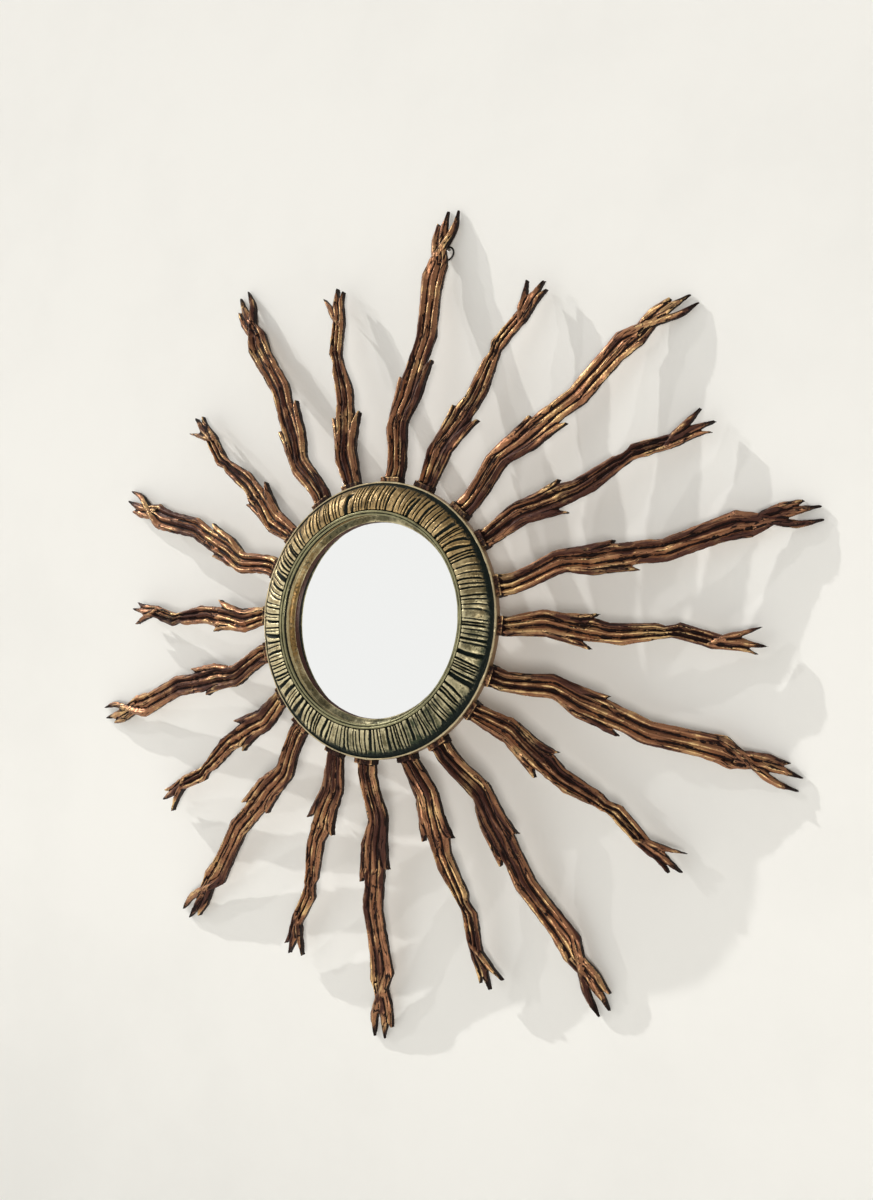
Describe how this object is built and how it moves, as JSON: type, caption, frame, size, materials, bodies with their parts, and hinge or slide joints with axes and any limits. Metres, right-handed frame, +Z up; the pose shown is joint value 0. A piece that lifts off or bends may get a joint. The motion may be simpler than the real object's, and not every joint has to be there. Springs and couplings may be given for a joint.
{
  "type": "sunburst mirror",
  "caption": "Round wall mirror in a turned and carved gilt ring, with long and short carved flame rays raked back to the wall and a wire hanging ring.",
  "frame": {"origin": "on the wall plane, level with the inside top of the hanging ring, where the wall hook stands", "axes": "+Z up; the front faces -Y and the wall is the plane y = 0; +X to the right of a person facing the mirror"},
  "size_m": [0.9127, 0.1005, 0.93],
  "materials": {
    "ray_gilding": "worn gold leaf over red-brown bole on carved wood, dark in the grooves",
    "ring_gilding": "olive and bronze-green gilding on carved wood, green-black in the cuts, pale worn rim",
    "slip_gilding": "satin bronze gilding on turned wood",
    "mirror_plate": "silvered glass",
    "backing_wood": "bare aged plywood",
    "bright_steel": "dull steel, lightly rusted",
    "black_wire": "blackened iron"
  },
  "bodies": {
    "mirror": {"frame_ring": "ring_gilding", "sight_slip": "slip_gilding", "mirror_glass": "mirror_plate", "backing_board": "backing_wood", "backing_brads": "bright_steel", "ray_nails": "bright_steel", "hanger_strap": "bright_steel", "hanger_screws": "bright_steel", "ray_01": "ray_gilding", "ray_02": "ray_gilding", "ray_03": "ray_gilding", "ray_04": "ray_gilding", "ray_05": "ray_gilding", "ray_06": "ray_gilding", "ray_07": "ray_gilding", "ray_08": "ray_gilding", "ray_09": "ray_gilding", "ray_10": "ray_gilding", "ray_11": "ray_gilding", "ray_12": "ray_gilding", "ray_13": "ray_gilding", "ray_14": "ray_gilding", "ray_15": "ray_gilding", "ray_16": "ray_gilding", "ray_17": "ray_gilding", "ray_18": "ray_gilding", "ray_19": "ray_gilding", "ray_20": "ray_gilding"},
    "ring": {"hanger_ring": "black_wire"}
  },
  "joints": [
    {"name": "hanger_ring_swing", "type": "hinge", "parent": "mirror", "child": "ring", "pos_m": [0, -0.00619, -0.01562], "axis": [-1, 0, 0], "range_deg": [-4, 170]}
  ]
}
